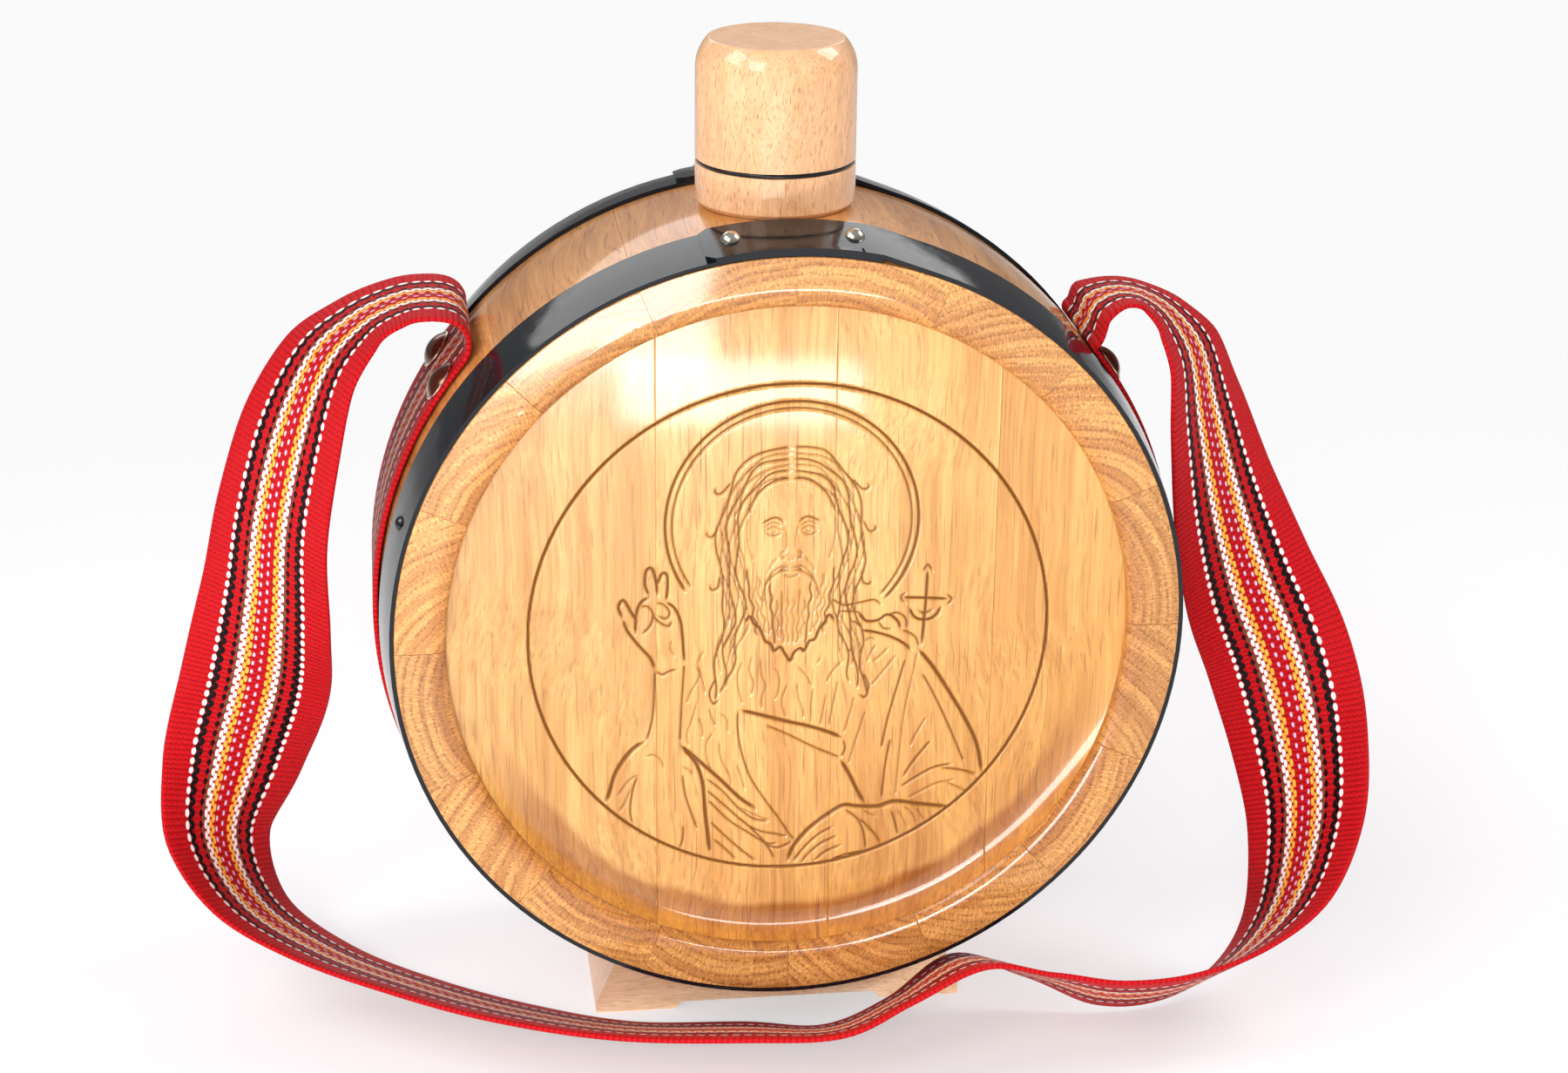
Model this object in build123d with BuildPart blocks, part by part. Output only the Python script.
# Stave-built wooden canteen flask with a turned screw cap, iron hoops, a cradle foot and a woven strap.
# Millimetres. The origin lies on the table under the middle of the barrel, +Z is up, and the front head
# faces -Y. The barrel's own axis runs along Y. Angles go from the top towards +X, as seen from the front.

from build123d import *

import os
from math import acos, asin, cos, degrees, pi, radians, sin, sqrt

# Barrel: its depth, its radius at the chimes (the two rims), how far the staves swell between them,
# and how high the swollen middle hangs above the table
barrel_depth = 96.0
chime_radius = 110.0
bilge_rise = 4.0
belly_clearance = 13.0

# Staves, with a croze (the groove for a head) near each end
stave_count = 16
chime_thickness = 14.2
belly_thickness = 13.0
chime_round = 2.6
croze_depth = 3.5
croze_clearance = 0.1

# Heads: edge-glued boards, and the ring groove turned in the front one
head_recess = 5.0
head_thickness = 12.0
board_joint_shares = (-0.38, 0.12, 0.58)
medallion_radius = 73.2
medallion_groove_width = 1.4
medallion_groove_depth = 0.9

# Hoops: one band each, whose ends lap on top of the barrel, the outer one with clipped corners
hoop_width = 20.0
hoop_thickness = 1.2
hoop_setback = 0.5
hoop_clearance = 0.05
lap_start_angle = -12.5
lap_end_angle = 12.0
lap_corner = 2.6

# Domed rivets in the laps, and the nail that keeps each hoop on its stave
fastener_clearance = 0.05
hoop_rivet_angle = 8.5
rivet_head_radius = 2.8
rivet_head_height = 2.1
rivet_shank_radius = 1.4
hoop_nail_angle = -72.0
nail_head_radius = 2.3
nail_head_height = 1.3
nail_shank_radius = 0.8
nail_length = 9.0

# Neck collar: turned, seated on a spot face, with a tenon glued through the staves
collar_radius = 22.4
collar_height = 11.8
collar_chamfer = 1.4
seat_depth = 1.2
seat_margin = 0.4
tenon_radius = 16.9
tenon_clearance = 0.1

# Pouring spout: a plastic sleeve glued in the collar, with a flange that shows as a dark ring
spout_bore_radius = 10.0
spout_wall = 2.6
spout_height = 16.0
sleeve_wall = 4.0
sleeve_length = 20.0
flange_inset = 0.3
flange_thickness = 1.2

# Cap: a turned shell round a plastic screw insert with its sealing liner
cap_height = 33.3
cap_top_radius = 18.9
cap_shoulder_height = 8.6
cap_edge_round = 0.8
cap_seat_gap = 0.15
glue_gap = 0.1
insert_wall = 2.6
insert_roof = 2.2
thread_clearance = 0.3
liner_thickness = 2.0
liner_clearance = 0.3

# Foot: a cradle between the hoops on two pads, with slanted ends and a channel for the strap's ends
foot_width = 109.0
foot_blank_width = 85.6
foot_blank_height = 30.0
foot_edge_height = 3.2
foot_hoop_gap = 0.5
foot_saddle_clearance = 0.1
pad_width = 25.5
pad_relief = 2.3
relief_chamfer = 1.8

# Countersunk screws through the foot
screw_spacing = 24.0
screw_head_radius = 3.2
screw_shank_radius = 1.6
screw_length = 16.0
countersink_angle = 90.0

# Strap: a woven band round the belly, tacked to a stave on each side, its ends tucked under the barrel
strap_width = 44.0
strap_thickness = 1.5
strap_offset = 4.0
strap_seat_gap = 0.1
channel_gap = 0.3
tuck_angle = 13.0
tack_angle = 55.0
tack_margin_angle = 3.5
tack_inset = 7.0
tack_head_radius = 6.0
tack_head_height = 3.0
tack_shank_radius = 1.1
tack_length = 9.0

# One overrun for every cut that has to pass a face
overrun = 2.0

# Route of the strap's free loop, from the left tacks up and over, down to the table, along it in front
# of the barrel and up to the right tacks. Each row is the middle of the band, in shares of chime_radius,
# half the barrel's depth and axis_height, then the way its width lies, from its front edge to its rear
# edge at the tacks.
loop_shares = (
    ((-0.79, 0.08, 1.60), (0.00, 1.00, 0.00)),
    ((-0.79, 0.08, 1.64), (0.00, 1.00, 0.00)),
    ((-0.82, 0.08, 1.67), (0.00, 1.00, 0.00)),
    ((-0.88, 0.08, 1.68), (0.00, 1.00, 0.00)),
    ((-0.96, 0.08, 1.67), (-0.10, 1.00, 0.00)),
    ((-1.06, 0.05, 1.63), (-0.25, 0.95, 0.00)),
    ((-1.16, -0.03, 1.55), (-0.40, 0.90, 0.10)),
    ((-1.24, -0.08, 1.39), (-0.60, 0.80, 0.15)),
    ((-1.30, -0.06, 1.18), (-0.70, 0.70, 0.20)),
    ((-1.33, 0.05, 0.96), (-0.85, 0.50, 0.25)),
    ((-1.37, 0.22, 0.75), (-0.95, 0.10, 0.25)),
    ((-1.44, 0.32, 0.54), (-0.90, -0.30, 0.30)),
    ((-1.49, 0.22, 0.36), (-0.65, -0.70, 0.30)),
    ((-1.41, -0.05, 0.23), (-0.45, -0.80, 0.35)),
    ((-1.22, -0.33, 0.15), (-0.40, -0.80, 0.40)),
    ((-0.98, -0.63, 0.11), (-0.40, -0.80, 0.42)),
    ((-0.72, -0.93, 0.09), (-0.35, -0.80, 0.40)),
    ((-0.44, -1.16, 0.08), (-0.20, -0.85, 0.40)),
    ((-0.13, -1.30, 0.09), (-0.10, -0.90, 0.40)),
    ((0.10, -1.35, 0.09), (0.00, -0.90, 0.45)),
    ((0.28, -1.27, 0.14), (0.00, -0.85, 0.45)),
    ((0.47, -1.16, 0.21), (0.05, -0.90, 0.40)),
    ((0.66, -1.18, 0.17), (0.00, -0.90, 0.50)),
    ((0.84, -1.26, 0.13), (0.00, -0.80, 0.60)),
    ((1.03, -1.24, 0.13), (0.05, -0.75, 0.60)),
    ((1.22, -1.10, 0.17), (0.15, -0.80, 0.60)),
    ((1.37, -0.86, 0.26), (0.35, -0.80, 0.50)),
    ((1.45, -0.52, 0.41), (0.60, -0.70, 0.40)),
    ((1.45, -0.23, 0.58), (0.80, -0.45, 0.35)),
    ((1.40, -0.07, 0.76), (0.95, -0.10, 0.35)),
    ((1.31, -0.03, 0.94), (0.90, 0.25, 0.40)),
    ((1.22, -0.08, 1.15), (0.80, 0.55, 0.30)),
    ((1.15, -0.11, 1.37), (0.65, 0.75, 0.15)),
    ((1.11, -0.08, 1.52), (0.50, 0.85, 0.05)),
    ((1.05, 0.00, 1.60), (0.35, 0.95, -0.05)),
    ((0.98, 0.06, 1.64), (0.20, 1.00, -0.10)),
    ((0.91, 0.08, 1.65), (0.10, 1.00, -0.10)),
    ((0.85, 0.08, 1.63), (0.00, 1.00, -0.05)),
    ((0.83, 0.08, 1.59), (0.00, 1.00, 0.00)),
)
loop_steps = 2

# Sizes worked out from the ones above
half_depth = barrel_depth / 2
belly_radius = chime_radius + bilge_rise
axis_height = belly_clearance + belly_radius
barrel_centre = Vector(0, 0, axis_height)
barrel_axis = Axis((0, 0, axis_height), (0, 1, 0))
bilge_curve_radius = (half_depth**2 + bilge_rise**2) / (2 * bilge_rise)
bore_radius = chime_radius - chime_thickness
hollow_radius = belly_radius - belly_thickness
stave_angle = 360 / stave_count
head_radius = bore_radius + croze_depth - croze_clearance
head_face = half_depth - head_recess
head_back = head_face - head_thickness
hoop_front = half_depth - hoop_setback
hoop_rear = hoop_front - hoop_width
hoop_middle = (hoop_front + hoop_rear) / 2
seat_height = axis_height + belly_radius - seat_depth
collar_top = seat_height + collar_height
sleeve_radius = spout_bore_radius + sleeve_wall
spout_radius = spout_bore_radius + spout_wall
flange_radius = collar_radius - flange_inset
flange_top = collar_top + flange_thickness
spout_top = flange_top + spout_height
insert_inner_radius = spout_radius + thread_clearance
insert_outer_radius = insert_inner_radius + insert_wall
cap_bottom = flange_top + cap_seat_gap
cap_top = cap_bottom + cap_height
liner_bottom = spout_top + cap_seat_gap
liner_top = liner_bottom + liner_thickness
insert_ceiling = liner_top + glue_gap
insert_top = insert_ceiling + insert_roof
foot_depth = 2 * (hoop_rear - foot_hoop_gap)
strap_inside = belly_radius + strap_seat_gap
strap_outside = strap_inside + strap_thickness
cradle_angle = tack_angle - tack_margin_angle

os.makedirs("parts", exist_ok=True)


def save(piece, name):
    """Label a finished piece and write it under its own name."""
    piece.part.label = name
    export_step(piece.part, f"parts/{name}.step")


def outer_radius(y):
    """Radius of the staves' outside at the distance y from the barrel's middle."""
    return belly_radius - bilge_curve_radius + sqrt(bilge_curve_radius**2 - y**2)


def outside_point(y, lift):
    """Point of the barrel's long section above the staves' outside at y, raised by lift along its normal."""
    tilt = asin(y / bilge_curve_radius)
    return (y + lift * sin(tilt), outer_radius(y) + lift * cos(tilt))


def radial_plane(angle):
    """Half plane through the barrel's axis: local x runs along the axis and local y outwards at the angle."""
    turn = radians(angle)
    return Plane(origin=barrel_centre, x_dir=(0, 1, 0), z_dir=(cos(turn), 0, -sin(turn)))


def outside_plane(angle, y, lift):
    """Plane that lies on the staves' curved outside, or is lifted above it, with its normal outwards."""
    turn = radians(angle)
    tilt = asin(y / bilge_curve_radius)
    along = Vector(0, 1, 0)
    outwards = Vector(sin(turn), 0, cos(turn))
    normal = outwards * cos(tilt) + along * sin(tilt)
    foot_point = barrel_centre + along * y + outwards * outer_radius(y)
    return Plane(origin=foot_point + normal * lift, x_dir=along * cos(tilt) - outwards * sin(tilt), z_dir=normal)


def band_plane(angle, y, radius):
    """Plane that touches a drum of this radius at the angle, with its normal outwards."""
    turn = radians(angle)
    outwards = Vector(sin(turn), 0, cos(turn))
    return Plane(origin=barrel_centre + outwards * radius + Vector(0, y, 0), x_dir=(0, 1, 0), z_dir=outwards)


def fastener_section(seat, dome_radius, dome_height, shank_radius, length):
    """Half section of a domed head on its seat plane, with a shank that goes down from it."""
    sphere_radius = (dome_radius**2 + dome_height**2) / (2 * dome_height)
    shoulder_radius = dome_radius * sin(pi / 4)
    shoulder_height = dome_height - sphere_radius + sqrt(sphere_radius**2 - shoulder_radius**2)
    with BuildSketch(Plane(origin=seat.origin, x_dir=seat.x_dir, z_dir=-seat.y_dir)) as section:
        with BuildLine():
            ThreePointArc((0, dome_height), (shoulder_radius, shoulder_height), (dome_radius, 0))
            Polyline(
                (dome_radius, 0),
                (shank_radius, 0),
                (shank_radius, -length),
                (0, -length),
                (0, dome_height),
            )
        make_face()
    return section.sketch


def stave_section(angle):
    """Long section of a stave: swollen back, hollowed belly, two crozes and rounded inner chimes."""
    with BuildSketch(radial_plane(angle)) as section:
        with BuildLine():
            ThreePointArc((-half_depth, chime_radius), (0, belly_radius), (half_depth, chime_radius))
            Line((half_depth, chime_radius), (half_depth, bore_radius + chime_round))
            TangentArc(
                (half_depth, bore_radius + chime_round),
                (half_depth - chime_round, bore_radius),
                tangent=(0, -1),
            )
            Polyline(
                (half_depth - chime_round, bore_radius),
                (head_face, bore_radius),
                (head_face, bore_radius + croze_depth),
                (head_back, bore_radius + croze_depth),
                (head_back, bore_radius),
            )
            ThreePointArc((head_back, bore_radius), (0, hollow_radius), (-head_back, bore_radius))
            Polyline(
                (-head_back, bore_radius),
                (-head_back, bore_radius + croze_depth),
                (-head_face, bore_radius + croze_depth),
                (-head_face, bore_radius),
                (-half_depth + chime_round, bore_radius),
            )
            TangentArc(
                (-half_depth + chime_round, bore_radius),
                (-half_depth, bore_radius + chime_round),
                tangent=(-1, 0),
            )
            Line((-half_depth, bore_radius + chime_round), (-half_depth, chime_radius))
        make_face()
    return section.sketch


# Staves, clockwise from the joint at the top; the neck's hole and spot face cross the first and the last
for index in range(stave_count):
    with BuildPart() as stave:
        revolve(stave_section(index * stave_angle), axis=barrel_axis, revolution_arc=stave_angle)
        if index in (0, stave_count - 1):
            with BuildSketch(Plane.XY.offset(axis_height)):
                Circle(tenon_radius + tenon_clearance)
            extrude(amount=belly_radius + overrun, mode=Mode.SUBTRACT)
            with BuildSketch(Plane.XY.offset(seat_height)):
                Circle(collar_radius + seat_margin)
            extrude(amount=seat_depth + overrun, mode=Mode.SUBTRACT)
    save(stave, f"stave_{index + 1:02d}")


def head_boards(side, name):
    """Edge-glued boards of one head, cut from a disc; side is -1 for the front head and 1 for the back."""
    joints = [share * head_radius for share in (-1, *board_joint_shares, 1)]
    middle = side * (head_face + head_back) / 2
    for number, (left, right) in enumerate(zip(joints, joints[1:]), start=1):
        with BuildPart() as board:
            with BuildSketch(Plane.XZ.offset(-middle)):
                with Locations((0, axis_height)):
                    Circle(head_radius)
                with Locations(((left + right) / 2, axis_height)):
                    Rectangle(right - left, 2 * head_radius, mode=Mode.INTERSECT)
            extrude(amount=head_thickness / 2, both=True)
            if side < 0:
                with BuildSketch(radial_plane(0)):
                    with Locations((-head_face, medallion_radius)):
                        Rectangle(2 * medallion_groove_depth, medallion_groove_width)
                revolve(axis=barrel_axis, mode=Mode.SUBTRACT)
        save(board, f"{name}_board_{number}")


head_boards(-1, "front_head")
head_boards(1, "back_head")


def hoop_section(side, angle, lift, thickness):
    """Section of a hoop, or of its two lapped ends together, raised by lift from the staves at an angle."""
    places = [side * y for y in (hoop_front, hoop_middle, hoop_rear)]
    inner = [outside_point(y, lift) for y in places]
    outer = [outside_point(y, lift + thickness) for y in places]
    with BuildSketch(radial_plane(angle)) as section:
        with BuildLine():
            ThreePointArc(*inner)
            Line(inner[2], outer[2])
            ThreePointArc(*reversed(outer))
            Line(outer[0], inner[0])
        make_face()
    return section.sketch


def hoop(side, name):
    """Hoop whose outer end laps over the inner one on top and comes down to the staves on a straight ramp."""
    middle = side * hoop_middle
    band_top = hoop_clearance + hoop_thickness
    drum_radius = outer_radius(hoop_middle) + band_top
    ramp_angle = lap_end_angle + degrees(acos(drum_radius / (drum_radius + hoop_thickness)))
    with BuildPart() as band:
        single = hoop_section(side, ramp_angle, hoop_clearance, hoop_thickness)
        revolve(single, axis=barrel_axis, revolution_arc=360 + lap_start_angle - ramp_angle)
        double = hoop_section(side, lap_start_angle, hoop_clearance, 2 * hoop_thickness)
        revolve(double, axis=barrel_axis, revolution_arc=lap_end_angle - lap_start_angle)
        raised = hoop_section(side, lap_end_angle, band_top, hoop_thickness)
        loft([raised, single], ruled=True)
        for y in (side * hoop_front, side * hoop_rear):
            with BuildSketch(outside_plane(lap_start_angle, y, band_top)):
                Rectangle(lap_corner * sqrt(2), lap_corner * sqrt(2), rotation=45)
            extrude(amount=hoop_thickness + overrun, mode=Mode.SUBTRACT)
        for angle in (-hoop_rivet_angle, hoop_rivet_angle):
            with BuildSketch(outside_plane(angle, middle, 0)):
                Circle(rivet_shank_radius + fastener_clearance)
            extrude(amount=band_top + hoop_thickness + overrun, mode=Mode.SUBTRACT)
        with BuildSketch(outside_plane(hoop_nail_angle, middle, 0)):
            Circle(nail_shank_radius + fastener_clearance)
        extrude(amount=band_top + overrun, mode=Mode.SUBTRACT)
    save(band, name)

    with BuildPart() as rivets:
        for angle in (-hoop_rivet_angle, hoop_rivet_angle):
            seat = outside_plane(angle, middle, band_top + hoop_thickness)
            section = fastener_section(
                seat, rivet_head_radius, rivet_head_height, rivet_shank_radius, 2 * hoop_thickness
            )
            revolve(section, axis=Axis(seat.origin, seat.z_dir))
    save(rivets, f"{name}_rivets")

    with BuildPart() as nail:
        seat = outside_plane(hoop_nail_angle, middle, band_top)
        section = fastener_section(seat, nail_head_radius, nail_head_height, nail_shank_radius, nail_length)
        revolve(section, axis=Axis(seat.origin, seat.z_dir))
    save(nail, f"{name}_nail")


hoop(-1, "front_hoop")
hoop(1, "back_hoop")

# Neck collar, bored for the spout's sleeve and, below it, for the pour
with BuildPart() as neck_collar:
    with BuildSketch(Plane.XY.offset(seat_height)):
        Circle(collar_radius)
    extrude(amount=collar_height)
    chamfer(neck_collar.edges().group_by(Axis.Z)[0], length=collar_chamfer)
    tenon_length = belly_thickness - seat_depth
    with BuildSketch(Plane.XY.offset(seat_height)):
        Circle(tenon_radius)
    extrude(amount=-tenon_length)
    with BuildSketch(Plane.XY.offset(collar_top)):
        Circle(spout_bore_radius)
    extrude(amount=-collar_height - tenon_length - overrun, mode=Mode.SUBTRACT)
    with BuildSketch(Plane.XY.offset(collar_top)):
        Circle(sleeve_radius)
    extrude(amount=-sleeve_length, mode=Mode.SUBTRACT)
save(neck_collar, "neck_collar")

# Pouring spout: sleeve in the collar, flange on top of it and the core of the threaded neck
with BuildPart() as pour_spout:
    with BuildSketch(Plane.XZ):
        with BuildLine():
            Polyline(
                (spout_bore_radius, collar_top - sleeve_length),
                (sleeve_radius, collar_top - sleeve_length),
                (sleeve_radius, collar_top),
                (flange_radius, collar_top),
                (flange_radius, flange_top),
                (spout_radius, flange_top),
                (spout_radius, spout_top),
                (spout_bore_radius, spout_top),
                close=True,
            )
        make_face()
    revolve(axis=Axis.Z)
save(pour_spout, "pour_spout")

# Cap shell: straight sides that turn in over the shoulder to a flat top, bored for the screw insert
with BuildPart() as cap_shell:
    with BuildSketch(Plane.XZ):
        shoulder_bottom = cap_top - cap_shoulder_height
        cap_bore_radius = insert_outer_radius + glue_gap
        cap_bore_top = insert_top + glue_gap
        with BuildLine():
            Polyline(
                (0, cap_bore_top),
                (cap_bore_radius, cap_bore_top),
                (cap_bore_radius, cap_bottom),
                (collar_radius, cap_bottom),
                (collar_radius, shoulder_bottom),
            )
            TangentArc((collar_radius, shoulder_bottom), (cap_top_radius, cap_top), tangent=(0, 1))
            Polyline((cap_top_radius, cap_top), (0, cap_top), (0, cap_bore_top))
        make_face()
    revolve(axis=Axis.Z)
    fillet(cap_shell.edges().group_by(Axis.Z)[-1], radius=cap_edge_round)
save(cap_shell, "cap_shell")

# Screw insert glued in the shell
with BuildPart() as cap_insert:
    with BuildSketch(Plane.XY.offset(cap_bottom)):
        Circle(insert_outer_radius)
    extrude(amount=insert_top - cap_bottom)
    with BuildSketch(Plane.XY.offset(cap_bottom)):
        Circle(insert_inner_radius)
    extrude(amount=insert_ceiling - cap_bottom, mode=Mode.SUBTRACT)
save(cap_insert, "cap_insert")

# Liner that seals on the spout's rim
with BuildPart() as cap_liner:
    with BuildSketch(Plane.XY.offset(liner_bottom)):
        Circle(insert_inner_radius - liner_clearance)
    extrude(amount=liner_thickness)
save(cap_liner, "cap_liner")

# Foot: slanted ends, a relief between the pads, a saddle for the staves and a channel for the strap
with BuildPart() as foot:
    with BuildSketch(Plane.XZ):
        with BuildLine():
            Polyline(
                (-foot_width / 2, 0),
                (foot_width / 2, 0),
                (foot_width / 2, foot_edge_height),
                (foot_blank_width / 2, foot_blank_height),
                (-foot_blank_width / 2, foot_blank_height),
                (-foot_width / 2, foot_edge_height),
                close=True,
            )
        make_face()
    extrude(amount=foot_depth / 2, both=True)
    with BuildSketch(Plane.XZ):
        relief_half = foot_width / 2 - pad_width
        with BuildLine():
            Polyline(
                (-relief_half - relief_chamfer, 0),
                (relief_half + relief_chamfer, 0),
                (relief_half, pad_relief),
                (-relief_half, pad_relief),
                close=True,
            )
        make_face()
    extrude(amount=foot_depth / 2 + overrun, both=True, mode=Mode.SUBTRACT)
    with BuildSketch(radial_plane(180)):
        saddle = [outside_point(y, foot_saddle_clearance) for y in (-hoop_rear, 0, hoop_rear)]
        with BuildLine():
            ThreePointArc(*saddle)
            Polyline(saddle[2], (hoop_rear, 0), (-hoop_rear, 0), saddle[0])
        make_face()
    revolve(axis=barrel_axis, mode=Mode.SUBTRACT)
    with BuildSketch(radial_plane(180)):
        channel_radius = strap_outside + channel_gap
        with Locations((strap_offset, channel_radius / 2)):
            Rectangle(strap_width + 2 * channel_gap, channel_radius)
    revolve(axis=barrel_axis, mode=Mode.SUBTRACT)
    for x in (-screw_spacing / 2, screw_spacing / 2):
        with Locations(Plane(origin=(x, 0, pad_relief), x_dir=(1, 0, 0), z_dir=(0, 0, -1))):
            CounterSinkHole(
                screw_shank_radius + fastener_clearance,
                screw_head_radius + fastener_clearance,
                counter_sink_angle=countersink_angle,
            )
save(foot, "foot")

# Foot screws, their heads flush with the relief
with BuildPart() as foot_screws:
    head_depth = screw_head_radius - screw_shank_radius
    for x in (-screw_spacing / 2, screw_spacing / 2):
        with BuildSketch(Plane(origin=(x, 0, pad_relief), x_dir=(1, 0, 0), z_dir=(0, -1, 0))):
            with BuildLine():
                Polyline(
                    (0, 0),
                    (screw_head_radius, 0),
                    (screw_shank_radius, head_depth),
                    (screw_shank_radius, screw_length),
                    (0, screw_length),
                    close=True,
                )
            make_face()
        revolve(axis=Axis((x, 0, 0), (0, 0, 1)))
save(foot_screws, "foot_screws")


def strap_cradle(start_angle, end_angle, name):
    """Stretch of the strap that lies on the staves, from a tucked end to the tacks."""
    with BuildPart() as cradle:
        with BuildSketch(radial_plane(start_angle)):
            with Locations((strap_offset, (strap_inside + strap_outside) / 2)):
                Rectangle(strap_width, strap_thickness)
        revolve(axis=barrel_axis, revolution_arc=end_angle - start_angle)
    save(cradle, name)


strap_cradle(tuck_angle - 180, -cradle_angle, "strap_cradle_left")
strap_cradle(cradle_angle, 180 - tuck_angle, "strap_cradle_right")


def tacks(angle, name):
    """Two domed tacks that hold the strap to one stave."""
    reach = strap_width / 2 - tack_inset
    with BuildPart() as pair:
        for y in (strap_offset - reach, strap_offset + reach):
            seat = band_plane(angle, y, strap_outside)
            section = fastener_section(
                seat, tack_head_radius, tack_head_height, tack_shank_radius, tack_length
            )
            revolve(section, axis=Axis(seat.origin, seat.z_dir))
    save(pair, name)


tacks(-tack_angle, "left_strap_tacks")
tacks(tack_angle, "right_strap_tacks")


def row_on_staves(angle):
    """Row of the strap's route where it lies on the staves: its middle and the way its width lies."""
    seat = band_plane(angle, strap_offset, (strap_inside + strap_outside) / 2)
    return (seat.origin, seat.x_dir)


def between(rows, place):
    """Smooth value a share of the way from the second of four rows to the third."""
    before, start, end, after = rows
    pull = (end - before) * place
    bend = (before * 2 - start * 5 + end * 4 - after) * place**2
    turn = (start * 3 - before - end * 3 + after) * place**3
    return start + (pull + bend + turn) * 0.5


def loop_stations():
    """Middles and widthwise directions along the free loop, smoothed between the rows of its route."""
    rows = [row_on_staves(-tack_angle), row_on_staves(-cradle_angle)]
    for (x, y, z), lean in loop_shares:
        rows.append((Vector(x * chime_radius, y * half_depth, z * axis_height), Vector(*lean)))
    rows.extend((row_on_staves(cradle_angle), row_on_staves(tack_angle)))
    stations = []
    for first in range(len(rows) - 3):
        middles, leans = zip(*rows[first : first + 4])
        for step in range(loop_steps):
            place = step / loop_steps
            stations.append((between(middles, place), between(leans, place)))
    stations.append(rows[-2])
    return stations


# Free loop of the strap, a thin band lofted through its stations
with BuildPart() as shoulder_strap:
    stations = loop_stations()
    middles = [middle for middle, lean in stations]
    travel = [after - before for before, after in zip(middles, middles[2:])]
    travel.insert(0, -band_plane(-cradle_angle, strap_offset, strap_outside).y_dir)
    travel.append(-band_plane(cradle_angle, strap_offset, strap_outside).y_dir)
    for (middle, lean), along in zip(stations, travel):
        tangent = along.normalized()
        across = lean - tangent * lean.dot(tangent)
        with BuildSketch(Plane(origin=middle, x_dir=across, z_dir=tangent)):
            Rectangle(strap_width, strap_thickness)
    loft(ruled=True)
save(shoulder_strap, "shoulder_strap")
